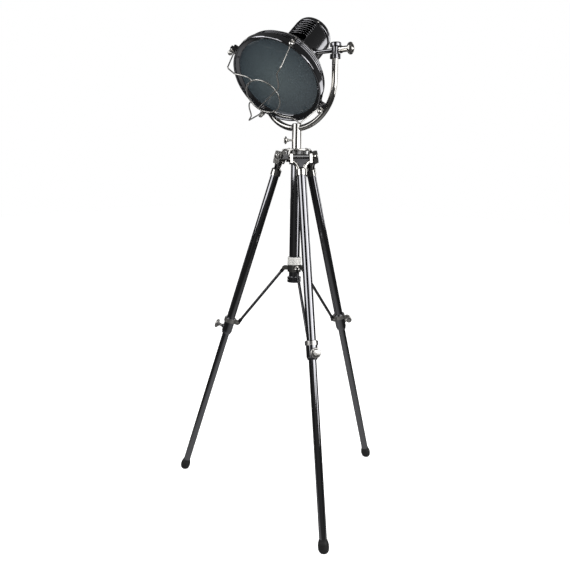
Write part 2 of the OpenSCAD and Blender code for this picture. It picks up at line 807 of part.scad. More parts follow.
module can_end_cap() {
  r = can_d / 2 + seat_gap;
  out = r + shell_wall;
  round_r = 9;
  skirt = 11;
  color(dark_nickel)
    in_head()
      difference() {
        rotate_extrude()
          polygon(concat(
            [[0, -can_back - 2], [out - round_r - 6, -can_back]],
            arc(out - round_r, -can_back + round_r, round_r, -90, 0, 6),
            [[out, -can_back + 10 + skirt - 3]],
            arc(out - 0.5, -can_back + 10 + skirt - 1.5, 1.5, -80, 80, 4),
            [[r, -can_back + 10 + skirt], [r, -can_back + 10 - seat_gap], [r - 4, -can_back + 10 - seat_gap]],
            [[r - 4, -can_back + round_r], [out - round_r - 6, -can_back + shell_wall + 0.6], [0, -can_back + shell_wall - 1]]
          ));
        translate([0, -can_d / 4, -can_back - 10]) cylinder(d = 12 + 2 * seat_gap, h = 30);
      }
}

module cable_gland() {
  inside = -can_back + shell_wall + 3;
  outside = -can_back - 1.6;
  color(bright_nickel)
    in_head()
      translate([0, -can_d / 4, 0])
        difference() {
          union() {
            translate([0, 0, outside - 16]) cylinder(d = 12, h = inside + 4 - outside + 16);
            translate([0, 0, outside - 5]) cylinder(d = 20, h = 5, $fn = 6);
            translate([0, 0, outside - 16]) cylinder(d1 = 13, d2 = 17, h = 11);
            translate([0, 0, inside]) cylinder(d = 20, h = 4, $fn = 6);
          }
          translate([0, 0, outside - 17]) cylinder(d = 7, h = 50);
        }
}

// Inside of the head

module reflector() {
  vertex = bowl_back + 16;
  r_rim = lip_d / 2 - 3.5;
  focal = r_rim * r_rim / (4 * (drum_front - 6 - vertex));
  hole = 24;
  skin = 1.5;
  steps = 16;
  front = parabola(hole, r_rim, vertex, focal, steps);
  back = parabola(hole, r_rim, vertex - skin, focal, steps);
  color("#d8d8d6")
    in_head()
      rotate_extrude()
        polygon(concat(
          back,
          [[drum_d / 2 - shell_wall - seat_gap, drum_front - 6 - skin], [drum_d / 2 - shell_wall - seat_gap, drum_front - 6]],
          [for (k = [0:steps]) front[steps - k]]
        ));
}

module lamp_holder() {
  plate_at = bowl_back - 12;
  mouth = bowl_back + 34;
  body_d = 38;
  color("#e6e2d8")
    in_head()
      difference() {
        union() {
          translate([0, 0, plate_at]) cylinder(d = can_d - 2 * shell_wall - 2 * seat_gap, h = 3);
          translate([0, 0, plate_at + 3]) cylinder(d = body_d, h = mouth - plate_at - 5);
          translate([0, 0, mouth - 2]) cylinder(d1 = body_d, d2 = body_d - 3, h = 2);
        }
        translate([0, 0, mouth - 27]) cylinder(d = 26.6, h = 30);
        for (k = [0:5])
          rotate([0, 0, 60 * k + 30]) translate([can_d / 2 - 18, 0, plate_at - 1]) cylinder(d = 18, h = 5);
      }
}

module bulb() {
  mouth = bowl_back + 34;
  r = bulb_d / 2;
  globe_at = lens_back - 6 - r;
  neck_r = 14;
  meet = asin(neck_r / r);
  color("#f4efe2")
    in_head()
      rotate_extrude()
        polygon(concat(
          [[0, mouth - 25], [9, mouth - 25], [13.2, mouth - 21], [13.2, mouth + 1], [neck_r, mouth + 2]],
          arc(0, globe_at, r, meet - 90, 90, 14)
        ));
}

module lens_glass() {
  rim = lip_d / 2 - 1;
  out = drum_d / 2 - 2;
  steps = 10;
  front = lens_arc(0, rim, lens_front, rim, steps);
  back = lens_arc(0, rim, lens_back, rim, steps);
  color("#4b5558", 0.9)
    in_head()
      rotate_extrude()
        polygon(concat(
          back,
          [[out, lens_back], [out, lens_front]],
          [for (k = [0:steps]) front[steps - k]]
        ));
}

module lens_gasket() {
  color("#1a1a1a")
    in_head() translate([0, 0, drum_front]) ring(drum_d - 3, lip_d - 5, gasket_t);
}

// Bezel, guard and clamps

module bezel_ring() {
  out = bezel_d / 2;
  pocket = drum_d / 2 - 1;
  bead_r = bead_d / 2;
  slot_w = bolt_d + 1.2;
  lug_out = bolt_r + bolt_d / 2 + 6;
  color(dark_nickel)
    in_head()
      difference() {
        union() {
          rotate_extrude()
            polygon(concat(
              [[pocket, drum_front + 0.3], [out - 1, drum_front + 0.3], [out, drum_front + 1.3]],
              arc(out - bead_r, bezel_front - bead_r, bead_r, 0, 180, 8),
              [[out - bead_d, bezel_front - bead_d], [lip_d / 2 + 1, lens_front + 3], [lip_d / 2, lens_front + 2]],
              [[lip_d / 2, lens_front], [pocket, lens_front]]
            ));
          for (a = clamp_angles)
            rotate([0, 0, a])
              translate([out - 4, -lug_w / 2, lug_back]) cube([lug_out - out + 4, lug_w, lug_front - lug_back]);
        }
        for (a = clamp_angles)
          rotate([0, 0, a]) {
            translate([bolt_r - slot_w / 2, -slot_w / 2, lug_back - overcut])
              cube([lug_out, slot_w, lug_front - lug_back + 2 * overcut]);
            translate([wire_r, 0, lug_back + 2])
              cylinder(d = wire_d + 2 * seat_gap, h = bezel_len);
          }
      }
}

module wire_guard() {
  bend = 6;
  corner_r = wire_r - guard_lean;
  ring_r = guard_ring_d / 2;
  corner_at = guard_plane - 4;
  foot = [wire_r, 0, lug_back + 2.2];
  knee = [wire_r, 0, bezel_front + 4];
  corner = [corner_r * cos(guard_twist), -corner_r * sin(guard_twist), corner_at];
  steps = 18;
  straight = 0.3;
  swing = [
    for (k = [2:steps])
      let (
        s = k / steps,
        e = max(0, (s - straight) / (1 - straight)),
        r = corner_r + (ring_r - corner_r) * s,
        a = -guard_twist - (guard_swirl - guard_twist) * e * e * (3 - 2 * e)
      )
        [r * cos(a), r * sin(a), corner_at + (guard_plane - corner_at) * s]
  ];
  spoke = concat(
    [foot],
    round_corner(foot, knee, corner, bend),
    round_corner(knee, corner, swing[0], bend),
    swing
  );
  chord = 180 - guard_swirl;
  color(bright_nickel)
    in_head() {
      for (a = clamp_angles) rotate([0, 0, a]) bent_bar(spoke, wire_d / 2, 8);
      translate([0, 0, guard_plane]) rotate_extrude() translate([ring_r, 0]) circle(d = wire_d);
      rotate([0, 0, clamp_angles[0] - guard_swirl - chord / 2])
        translate([ring_r * cos(chord / 2), 0, guard_plane])
          rotate([0, 0, 90]) rod_x(wire_d - 1, 2 * ring_r * sin(chord / 2));
    }
}

module clamp_brackets() {
  gap = bolt_d + 2 * side_gap;
  ear = 3.2;
  eye_r_out = bolt_d / 2 + 2;
  foot_back = bolt_eye_at - 9;
  color(dark_nickel)
    in_head()
      difference() {
        union()
          for (a = clamp_angles)
            rotate([0, 0, a]) {
              translate([drum_d / 2 - 3, -gap / 2 - ear, foot_back])
                cube([bezel_d / 2 - drum_d / 2 + 2, gap + 2 * ear, drum_front - foot_back]);
              for (side = [-1, 1])
                translate([bolt_r, side * (gap + ear) / 2, bolt_eye_at]) {
                  rotate([90, 0, 0]) cylinder(r = eye_r_out, h = ear, center = true);
                  translate([bezel_d / 2 - 2 - bolt_r, -ear / 2, -eye_r_out])
                    cube([bolt_r - bezel_d / 2 + 2, ear, drum_front - bolt_eye_at + eye_r_out]);
                }
              translate([bolt_r, 0, bolt_eye_at])
                rotate([90, 0, 0]) cylinder(d = 4, h = gap + 2 * ear + 1.4, center = true);
            }
        translate([0, 0, foot_back - overcut])
          cylinder(d = drum_d + 2 * 1.5 + 2 * seat_gap, h = drum_len);
      }
}

module swing_bolts() {
  color(bright_nickel)
    in_head()
      for (a = clamp_angles)
        at_clamp(a)
          difference() {
            union() {
              translate([0, 0, bolt_eye_at])
                rotate([90, 0, 0]) cylinder(r = bolt_d / 2 + 1.6, h = bolt_d, center = true);
              translate([0, 0, bolt_eye_at]) cylinder(d = bolt_d, h = lug_front + nut_len - nut_d / 2 - 1 - bolt_eye_at);
            }
            translate([0, 0, bolt_eye_at])
              rotate([90, 0, 0]) cylinder(d = 4 + 2 * seat_gap, h = 2 * bolt_d, center = true);
          }
}

// A ball nut: flange, waist and ball, bored for its swing bolt
module clamp_nut(i) {
  ball_r = nut_d / 2;
  ball_at = nut_len - ball_r;
  waist = bolt_d / 2 + 2;
  color(bright_nickel)
    in_head()
      at_clamp(clamp_angles[i])
        translate([0, 0, lug_front + 0.1])
          difference() {
            rotate_extrude()
              polygon(concat(
                [[0, 0], [ball_r - 1, 0], [ball_r - 0.5, 0.5], [ball_r - 0.5, 1.8], [ball_r - 1, 2.3], [waist, 3]],
                arc(0, ball_at, ball_r, -acos(waist / ball_r), 90, 10)
              ));
            translate([0, 0, -overcut]) cylinder(d = bolt_d + 2 * run_gap, h = ball_at + overcut);
          }
}

module trunnions() {
  end = tilt_knob_reach - 11;
  shoulder = yoke_half + boss_d / 2;
  pad_d = trunnion_d + 16;
  color(dark_nickel)
    in_head()
      for (side = [-1, 1])
        difference() {
          translate([0, -head_rise, 0])
            rotate([0, side * 90, 0]) {
              cylinder(d = trunnion_d, h = shoulder);
              cylinder(d = trunnion_d - 4, h = end);
              cylinder(d = pad_d, h = can_d / 2 + 6);
              translate([0, 0, can_d / 2 + 6]) cylinder(d1 = pad_d, d2 = trunnion_d + 4, h = 6);
            }
          translate([0, 0, -can_d / 2]) cylinder(d = can_d + 2 * seat_gap, h = can_d);
        }
}

hub_casting();
hub_plate();
mast_socket();
mast_knob();
centre_column();
column_cap();
leg_pivot_bolts();
spider();
lock_ring();
leg_fork(0);  // leg_1_fork
leg_upper_tube(0);  // leg_1_upper_tube
leg_collar(0);  // leg_1_collar
leg_band(0);  // leg_1_band
leg_knob(0);  // leg_1_knob
leg_lower_tube(0);  // leg_1_lower_tube
leg_foot(0);  // leg_1_foot
brace(0);  // brace_1
leg_fork(1);  // leg_2_fork
leg_upper_tube(1);  // leg_2_upper_tube
leg_collar(1);  // leg_2_collar
leg_band(1);  // leg_2_band
leg_knob(1);  // leg_2_knob
leg_lower_tube(1);  // leg_2_lower_tube
leg_foot(1);  // leg_2_foot
brace(1);  // brace_2
leg_fork(2);  // leg_3_fork
leg_upper_tube(2);  // leg_3_upper_tube
leg_collar(2);  // leg_3_collar
leg_band(2);  // leg_3_band
leg_knob(2);  // leg_3_knob
leg_lower_tube(2);  // leg_3_lower_tube
leg_foot(2);  // leg_3_foot
brace(2);  // brace_3
yoke_tube();
yoke_stem();
yoke_boss(-1);  // yoke_boss_left
yoke_boss(1);  // yoke_boss_right
tilt_knob(-1);  // tilt_knob_left
tilt_knob(1);  // tilt_knob_right
drum_shell();
back_bowl();
rear_can();
can_end_cap();
reflector();
lamp_holder();
bulb();
lens_glass();
lens_gasket();
bezel_ring();
wire_guard();
clamp_brackets();
swing_bolts();
trunnions();
cable_gland();
clamp_nut(0);  // clamp_nut_1
clamp_nut(1);  // clamp_nut_2
clamp_nut(2);  // clamp_nut_3
clamp_nut(3);  // clamp_nut_4
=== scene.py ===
# %% [markdown]
# # Searchlight floor lamp
# A drum-shaped lamp head hangs between the arms of a yoke, on a tripod with folding and telescoping legs.
# The solid model is loaded as a frame. It already holds every rigid piece in its place, so this lesson
# gives the pieces their finishes, adds the fine detail that a solid model leaves out, and lights the lamp.

# %% Load the frame
import json
import math

import bmesh
import bpy
from mathutils import Matrix, Vector


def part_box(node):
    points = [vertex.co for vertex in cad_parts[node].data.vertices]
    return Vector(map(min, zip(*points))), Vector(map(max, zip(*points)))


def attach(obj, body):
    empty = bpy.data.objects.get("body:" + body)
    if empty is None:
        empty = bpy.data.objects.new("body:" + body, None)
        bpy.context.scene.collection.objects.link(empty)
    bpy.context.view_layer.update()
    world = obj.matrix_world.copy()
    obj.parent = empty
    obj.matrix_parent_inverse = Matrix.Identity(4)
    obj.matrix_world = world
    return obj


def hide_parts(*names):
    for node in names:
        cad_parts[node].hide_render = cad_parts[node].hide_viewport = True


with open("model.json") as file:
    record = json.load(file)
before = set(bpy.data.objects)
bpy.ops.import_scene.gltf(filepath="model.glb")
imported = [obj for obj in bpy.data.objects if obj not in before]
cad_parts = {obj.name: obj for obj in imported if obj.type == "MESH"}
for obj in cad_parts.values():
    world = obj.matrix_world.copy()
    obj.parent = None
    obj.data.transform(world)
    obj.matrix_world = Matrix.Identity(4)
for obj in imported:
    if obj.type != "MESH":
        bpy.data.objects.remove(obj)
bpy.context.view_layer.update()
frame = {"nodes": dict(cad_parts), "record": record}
nodes = frame["nodes"]

# %% [markdown]
# ## Camera
# The photo was taken from about the height of the hub, and close enough for the front leg to look longer than the
# others. A camera could be moved by hand until the picture looks right. Here its place, its direction and its field
# of view are fitted to the outline of the lamp, because the distance decides how wide the legs spread in the picture.
# The lens axis points a little to the left of the lamp, and a small sideways shift puts the lamp back in the middle.

# %% Camera
scene = bpy.context.scene
scene.view_settings.view_transform = "Standard"

photo_side = 570.0
focal_pixels = 667.8
shift_pixels = 60.0
camera_turn = math.radians(36.61)
camera_distance = 2.3089
camera_height = 1.1801
view_heading = camera_turn + 0.10445
view_drop = 0.18127

camera_data = bpy.data.cameras.new("photo_camera")
camera_data.sensor_width = 36.0
camera_data.lens = camera_data.sensor_width * focal_pixels / photo_side
camera_data.shift_x = shift_pixels / photo_side
camera = bpy.data.objects.new("photo_camera", camera_data)
scene.collection.objects.link(camera)
scene.camera = camera
camera.location = (
    camera_distance * math.sin(camera_turn),
    -camera_distance * math.cos(camera_turn),
    camera_height,
)
look = Vector((
    -math.sin(view_heading) * math.cos(view_drop),
    math.cos(view_heading) * math.cos(view_drop),
    -math.sin(view_drop),
))
camera.rotation_mode = "QUATERNION"
camera.rotation_quaternion = look.to_track_quat("-Z", "Y")
print("camera at", [round(v, 3) for v in camera.location])

# %% [markdown]
# ## Two small helpers
# Colours are written as the hex values that a paint or screen shows, and a shader works in linear light, so one
# function turns the first into the second. The other adds a node to a tree with its settings and its links.

# %% Helpers for colours and nodes
def linear(hex_colour):
    channels = [int(hex_colour[i:i + 2], 16) / 255 for i in (1, 3, 5)]
    return tuple(c / 12.92 if c <= 0.04045 else ((c + 0.055) / 1.055) ** 2.4 for c in channels) + (1.0,)


def add(tree, kind, inputs=None, **settings):
    node = tree.nodes.new(kind)
    for name, value in settings.items():
        setattr(node, name, value)
    for socket, value in (inputs or {}).items():
        if isinstance(value, bpy.types.NodeSocket):
            tree.links.new(value, node.inputs[socket])
        else:
            node.inputs[socket].default_value = value
    return node


print("mid grey is", round(linear("#808080")[0], 3))

# %% [markdown]
# ## Studio
# The lamp stands on a white floor in front of white. Polished metal shows the whole room, so the room decides how it
# looks. One bright sky would turn every tube white, while the photo has dark tubes with sharp white streaks. So the
# camera sees white, and so does light through glass, but mirrored rays see a dim room, a little paler beyond the lamp
# than on the camera's side.

# %% World
white = linear("#ffffff")
room_light = 0.3
camera_side, far_side = -0.6, 0.9
camera_side_light, far_side_light = 0.02, 0.14

world = bpy.data.worlds.new("white_studio")
scene.world = world
world.use_nodes = True
sky = world.node_tree
sky.nodes.clear()
ray = add(sky, "ShaderNodeLightPath")
seen = add(sky, "ShaderNodeMath", {
    0: ray.outputs["Is Camera Ray"], 1: ray.outputs["Is Transmission Ray"],
}, operation="MAXIMUM")
room = add(sky, "ShaderNodeBackground", {"Color": white, "Strength": room_light})
toward = add(sky, "ShaderNodeTexCoord").outputs["Generated"]
beyond = (-math.sin(camera_turn), math.cos(camera_turn), 0.0)
depth = add(sky, "ShaderNodeVectorMath", {0: toward, 1: beyond}, operation="DOT_PRODUCT")
fade = add(sky, "ShaderNodeMapRange", {
    "Value": depth.outputs["Value"], "From Min": camera_side, "From Max": far_side,
    "To Min": camera_side_light, "To Max": far_side_light,
})
dim = add(sky, "ShaderNodeBackground", {"Color": white, "Strength": fade.outputs["Result"]})
backdrop = add(sky, "ShaderNodeBackground", {"Color": white, "Strength": 1.0})
mirrored = add(sky, "ShaderNodeMixShader", {
    0: ray.outputs["Is Glossy Ray"], 1: room.outputs[0], 2: dim.outputs[0],
})
mixed = add(sky, "ShaderNodeMixShader", {0: seen.outputs[0], 1: mirrored.outputs[0], 2: backdrop.outputs[0]})
add(sky, "ShaderNodeOutputWorld", {"Surface": mixed.outputs[0]})
print("world:", world.name)

# %% [markdown]
# ## Floor
# The floor is matt white paint. Plain paint would show a grey edge against the backdrop, so it glows a little towards
# the camera and still takes a faint shadow. The lower tubes mirror the floor: it is pale near the feet and soon falls
# off to nearly black, which leaves the tubes as dark as in the photo.

# %% Floor
floor_side = 24
floor_glow = 0.85
near_floor, far_floor = 0.4, 1.6
near_light, far_light = 0.32, 0.04


def card(name, width, height, centre, facing):
    mesh = bpy.data.meshes.new(name)
    w, h = width / 2, height / 2
    mesh.from_pydata([(-w, -h, 0), (w, -h, 0), (w, h, 0), (-w, h, 0)], [], [(0, 1, 2, 3)])
    turn = Vector(facing).to_track_quat("Z", "Y").to_matrix().to_4x4()
    mesh.transform(Matrix.Translation(centre) @ turn)
    made = bpy.data.objects.new(name, mesh)
    scene.collection.objects.link(made)
    return made


def empty_material(name):
    material = bpy.data.materials.new(name)
    material.use_nodes = True
    material.node_tree.nodes.clear()
    return material, material.node_tree


floor = card("floor", floor_side, floor_side, (0, 0, 0), (0, 0, 1))
floor_paint, tree = empty_material("white_floor")
ray = add(tree, "ShaderNodeLightPath")
paint = add(tree, "ShaderNodeBsdfDiffuse", {"Color": linear("#f4f4f4")})
glow = add(tree, "ShaderNodeEmission", {"Color": white, "Strength": floor_glow})
lit = add(tree, "ShaderNodeAddShader", {0: paint.outputs[0], 1: glow.outputs[0]})
place = add(tree, "ShaderNodeTexCoord").outputs["Object"]
reach = add(tree, "ShaderNodeVectorMath", {0: place}, operation="LENGTH")
fade = add(tree, "ShaderNodeMapRange", {
    "Value": reach.outputs["Value"], "From Min": near_floor, "From Max": far_floor,
    "To Min": near_light, "To Max": far_light,
})
dull = add(tree, "ShaderNodeEmission", {"Color": white, "Strength": fade.outputs["Result"]})
mirrored = add(tree, "ShaderNodeMixShader", {
    0: ray.outputs["Is Glossy Ray"], 1: paint.outputs[0], 2: dull.outputs[0],
})
both = add(tree, "ShaderNodeMixShader", {
    0: ray.outputs["Is Camera Ray"], 1: mirrored.outputs[0], 2: lit.outputs[0],
})
add(tree, "ShaderNodeOutputMaterial", {"Surface": both.outputs[0]})
floor.data.materials.append(floor_paint)
print("floor:", floor.name)

# %% [markdown]
# ## Soft boxes
# Every white streak on the lamp is the picture of a soft box. Two large ones left and right of the camera start at
# chest height, so the streaks end above the lower tubes. A strip further right gives the second streak, two boxes
# light the back, and two strips overhead draw the line along the rim of the head. A dim grey wall stands behind the
# camera. Point lamps would be simpler, but their pictures in the tubes are dots. All are placed by their turn round
# the lamp, counted from the camera to the right.

# %% Soft boxes
def soft_box(name, width, height, place, target, power):
    light = bpy.data.lights.new(name, "AREA")
    light.shape = "RECTANGLE"
    light.size = width
    light.size_y = height
    light.energy = power
    lamp = bpy.data.objects.new(name, light)
    scene.collection.objects.link(lamp)
    lamp.location = place
    lamp.rotation_mode = "QUATERNION"
    lamp.rotation_quaternion = (Vector(target) - Vector(place)).to_track_quat("-Z", "Y")


def around(turn_right, distance, height):
    a = camera_turn + math.radians(turn_right)
    return (distance * math.sin(a), -distance * math.cos(a), height)


# Each row: name, width and height in metres, place, the point that it faces, power in watts.
soft_boxes = [
    ("left_box", 1.8, 1.8, around(-54, 2.6, 1.95), (0, 0, 1.5), 31),
    ("right_box", 2.3, 1.8, around(42, 2.6, 1.95), (0, 0, 1.5), 39),
    ("right_strip", 0.8, 2.0, around(66, 2.6, 1.5), (0, 0, 1.5), 17),
    ("back_right_box", 1.2, 1.8, around(128, 2.8, 1.8), (0, 0, 1.4), 14),
    ("back_left_box", 1.2, 1.8, around(-150, 2.8, 1.8), (0, 0, 1.4), 11),
    ("top_strip", 1.4, 0.5, around(-80, 1.8, 2.9), (0, 0, 1.6), 9),
    ("front_strip", 2.6, 0.3, around(-5, 2.6, 3.35), (0, 0, 1.5), 8),
]
for row in soft_boxes:
    soft_box(*row)
print("soft boxes:", len(soft_boxes))

# %% Grey wall
wall_light = 0.08
wall = card("grey_wall", 6.0, 2.2, around(0, 3.4, 1.1), [-c for c in around(0, 1.0, 0)])
wall_paint, tree = empty_material("grey_wall")
grey = add(tree, "ShaderNodeEmission", {"Color": white, "Strength": wall_light})
add(tree, "ShaderNodeOutputMaterial", {"Surface": grey.outputs[0]})
wall.data.materials.append(wall_paint)
wall.visible_camera = False
wall.visible_diffuse = False
wall.visible_shadow = False
wall.visible_transmission = False
print("wall:", wall.name)

# %% [markdown]
# ## Metal finishes
# Nickel plate over brass or steel is buffed to a mirror. Black nickel is the same plate with zinc in the bath: it
# still mirrors the room, but at about a quarter of the brightness. A metal of one colour and one gloss would look too
# clean, so a soft haze from buffing comes and goes over a few centimetres. The spun shells of the head keep fine
# rings from the lathe, and each fork has painted shade in the web between its arms, a dark colour for the shadowed
# recess.

# %% Places on the lamp that the finishes follow
first_leg_turn, leg_splay = 51, 17.4
pivot_reach, pivot_height = 0.055, 1.2
leg_lean = Matrix.Rotation(math.radians(-leg_splay), 4, "X")
leg_frames = [
    Matrix.Rotation(math.radians(first_leg_turn + 120 * leg), 4, "Z")
    @ Matrix.Translation((0, -pivot_reach, pivot_height))
    @ leg_lean
    for leg in range(3)
]
# Size and place of the painted shade in each fork's web, measured in the leg's own frame.
web_width, web_depth, web_foot = 0.027, 0.0044, -0.042
head_tilt = math.radians(40)
along_head = (-math.pi / 2 - head_tilt, 0.0, 0.0)
upright = (0.0, 0.0, 0.0)
print("legs stand at", [round(math.degrees(place.to_euler().z)) for place in leg_frames], "degrees")

# %% Metal
haze_patch = 0.025
buffed, hazy = 0.7, 1.4
# Colour of the painted shade that darkens each fork's web.
web_shade_colour = "#3a3a3c"
# Real spinning lines are about 0.3 mm apart. They are drawn three times as coarse, because finer ones would not show.
spun_line = 0.0009
# A wave texture runs through 20 radians for each unit of its scale.
wave_scale = 2 * math.pi / spun_line / 20


def metal(name, colour, hazy_colour, roughness, rings_along=None, ridge=0.0, lacquer=0.0, web_shade_place=None):
    material, tree = empty_material(name)
    place = add(tree, "ShaderNodeTexCoord").outputs["Object"]
    haze = add(tree, "ShaderNodeTexNoise", {"Vector": place, "Scale": 1 / haze_patch, "Detail": 4.0})
    tint = add(tree, "ShaderNodeMix", {
        "Factor": haze.outputs["Fac"], "A": linear(colour), "B": linear(hazy_colour),
    }, data_type="RGBA")
    gloss = add(tree, "ShaderNodeMapRange", {
        "Value": haze.outputs["Fac"], "To Min": roughness * buffed, "To Max": roughness * hazy,
    })
    # Painted shade: inside the web between a fork's arms, the colour is mixed towards a dark grey.
    if web_shade_place:
        along_leg = add(tree, "ShaderNodeMapping", {
            "Vector": place, "Location": web_shade_place.to_translation(), "Rotation": web_shade_place.to_euler(),
        }, vector_type="TEXTURE")
        side = add(tree, "ShaderNodeSeparateXYZ", {0: along_leg.outputs[0]})
        width = add(tree, "ShaderNodeMath", {0: side.outputs["X"], 1: 0.0, 2: web_width}, operation="COMPARE")
        depth = add(tree, "ShaderNodeMath", {0: side.outputs["Y"], 1: 0.0, 2: web_depth}, operation="COMPARE")
        flat = add(tree, "ShaderNodeMath", {0: width.outputs[0], 1: depth.outputs[0]}, operation="MULTIPLY")
        high = add(tree, "ShaderNodeMath", {0: side.outputs["Z"], 1: web_foot}, operation="GREATER_THAN")
        web = add(tree, "ShaderNodeMath", {0: flat.outputs[0], 1: high.outputs[0]}, operation="MULTIPLY")
        tint = add(tree, "ShaderNodeMix", {
            "Factor": web.outputs[0], "A": tint.outputs["Result"], "B": linear(web_shade_colour),
        }, data_type="RGBA")
    surface = {
        "Base Color": tint.outputs["Result"], "Metallic": 1.0 - lacquer, "Roughness": gloss.outputs["Result"],
    }
    if rings_along:
        turned = add(tree, "ShaderNodeMapping", {"Vector": place, "Rotation": rings_along})
        rings = add(tree, "ShaderNodeTexWave", {
            "Vector": turned.outputs[0], "Scale": wave_scale, "Distortion": 1.5,
        }, bands_direction="Z")
        ridges = add(tree, "ShaderNodeBump", {
            "Height": rings.outputs["Fac"], "Strength": 0.3, "Distance": ridge,
        })
        surface["Normal"] = ridges.outputs[0]
    shader = add(tree, "ShaderNodeBsdfPrincipled", surface)
    add(tree, "ShaderNodeOutputMaterial", {"Surface": shader.outputs[0]})
    return material


print("spun lines:", round(spun_line * 1000, 2), "mm apart")

# %% Nickel, steel and aluminium
lathe_ridge, lock_ring_ridge = 0.00003, 0.00004
# Tubes, column, collars, bezel and brackets: a dark mirror with sharp white streaks.
black_nickel = metal("polished_black_nickel", "#848488", "#8c8c8f", roughness=0.06)
# Drum, can and its cap: the same plate on spun sheet, whose rings spread each streak along the head.
spun_black_nickel = metal(
    "spun_black_nickel", "#808084", "#8a8a8c", roughness=0.12, rings_along=along_head, ridge=lathe_ridge,
)
# Hub: plated over a rough casting, so it mirrors softly and stays dark.
cast_black_nickel = metal("cast_black_nickel", "#6c6c6e", "#787878", roughness=0.3)
# Yoke, mast socket, tilt knobs, bowl and clamp bolts: a bright, slightly warm mirror.
bright_nickel = metal("polished_bright_nickel", "#cbc9c5", "#c3c1bd", roughness=0.08)
# Guard wires, bands, leg knobs and hub plate: brushed, so a highlight spreads into a pale sheen.
brushed_nickel = metal("brushed_bright_nickel", "#c6c4c0", "#bebcb8", roughness=0.3)
# Locking ring: blasted and lacquered, so it is nearly white all over and shows no streak.
satin_nickel = metal(
    "lacquered_bead_blasted_nickel", "#f2f1ee", "#eae9e5", roughness=0.6, rings_along=upright, ridge=lock_ring_ridge,
    lacquer=0.6,
)
# Braces: flat steel bar with a dark, satin oxide skin.
black_steel = metal("black_oxide_steel", "#58585a", "#626264", roughness=0.22)
# Forks: bright on their arms and sleeves, with painted shade in the web between them.
fork_nickel = [
    metal(f"cast_nickel_fork_{leg + 1}", "#cbc9c5", "#c3c1bd", roughness=0.1, web_shade_place=place)
    for leg, place in enumerate(leg_frames)
]
# Reflector: pale and silky, with rings from the lathe.
spun_aluminium = metal(
    "spun_aluminium", "#d6d6d4", "#cbcbc9", roughness=0.2, rings_along=along_head, ridge=lathe_ridge,
)
print("metals for forks:", [material.name for material in fork_nickel])

# %% [markdown]
# ## Glass, porcelain and rubber
# The lens is sand-blasted behind and polished in front: grey-green with a clear gloss on top, and its colour is
# painted paler in the middle, a painted glow of the reflector behind it. Clear glass over the reflector is another
# way, but it would show far more of the inside than the photo does. The bulb is opal glass, its holder is glazed
# porcelain, and the feet are moulded rubber.

# %% Glass, porcelain and rubber
lens_radius = 0.15
# Blasting and moulding leave a grain of about 0.2 mm. It is drawn at 0.8 mm, because a finer one would not show.
grain_width = 0.001 / 1.2
polished, moulded = 0.00001, 0.0001


def coated(name, colour, other_colour, roughness, coat, grain, patch=None, middle=None):
    material, tree = empty_material(name)
    place = add(tree, "ShaderNodeTexCoord").outputs["Object"]
    # Painted light: with a middle given, the colour goes from the first colour at the middle to the second at the
    # lens's edge.
    if middle:
        away = add(tree, "ShaderNodeVectorMath", {0: place, 1: middle}, operation="DISTANCE")
        spread = add(tree, "ShaderNodeMapRange", {"Value": away.outputs["Value"], "From Max": lens_radius})
        share = spread.outputs["Result"]
    else:
        clouds = add(tree, "ShaderNodeTexNoise", {"Vector": place, "Scale": 1 / patch, "Detail": 3.0})
        share = clouds.outputs["Fac"]
    tint = add(tree, "ShaderNodeMix", {
        "Factor": share, "A": linear(colour), "B": linear(other_colour),
    }, data_type="RGBA")
    fine = add(tree, "ShaderNodeTexNoise", {"Vector": place, "Scale": 1 / grain_width, "Detail": 2.0})
    grains = add(tree, "ShaderNodeBump", {"Height": fine.outputs["Fac"], "Strength": 0.4, "Distance": grain})
    shader = add(tree, "ShaderNodeBsdfPrincipled", {
        "Base Color": tint.outputs["Result"], "Roughness": roughness, "Normal": grains.outputs[0],
        "Coat Weight": coat,
    })
    add(tree, "ShaderNodeOutputMaterial", {"Surface": shader.outputs[0]})
    return material


lens_low, lens_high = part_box("lens_glass")
lens_middle = (lens_low + lens_high) / 2
# Dull grey-green under a clear gloss, with a painted glow that makes the middle paler.
frosted_lens = coated(
    "frosted_lens_glass", "#576366", "#38434a", roughness=0.35, coat=1.0, grain=polished, middle=lens_middle,
)
# Milky and even.
opal_bulb = coated("opal_bulb_glass", "#efe9dc", "#e9e2d3", roughness=0.2, coat=0.0, grain=polished, patch=0.03)
# Cream with a wet gloss.
porcelain = coated("glazed_porcelain", "#e2ddd0", "#dad4c6", roughness=0.3, coat=0.8, grain=polished, patch=0.03)
# Nearly black and dull.
foot_rubber = coated("moulded_rubber", "#121212", "#1a1a19", roughness=0.62, coat=0.0, grain=moulded, patch=0.01)
print("lens middle:", [round(c, 3) for c in lens_middle])

# %% [markdown]
# ## Give each solid its finish
# The record of the solid model names a slot for every node. Finishes could be assigned node by node, but most nodes
# share one with their slot. Only a few take one of their own, because the photo shows them brushed, cast or spun.

# %% Give each solid its finish
finishes = {
    "black_nickel": black_nickel, "bright_nickel": bright_nickel, "lens_glass": frosted_lens,
    "bulb_glass": opal_bulb, "reflector_aluminium": spun_aluminium, "porcelain": porcelain, "rubber": foot_rubber,
}
special = {
    "lock_ring": satin_nickel, "hub_plate": brushed_nickel, "hub_casting": cast_black_nickel,
    "drum_shell": spun_black_nickel, "rear_can": spun_black_nickel, "can_end_cap": spun_black_nickel,
    "spider": bright_nickel,
}
for leg in range(3):
    special[f"leg_{leg + 1}_fork"] = fork_nickel[leg]
    special[f"brace_{leg + 1}"] = black_steel
    special[f"leg_{leg + 1}_band"] = brushed_nickel
    special[f"leg_{leg + 1}_knob"] = brushed_nickel
slot_of = {part["node"]: part["material_slot"] for part in frame["record"]["subparts"]}
for name, solid in nodes.items():
    solid.data.materials.clear()
    solid.data.materials.append(special.get(name, finishes[slot_of[name]]))
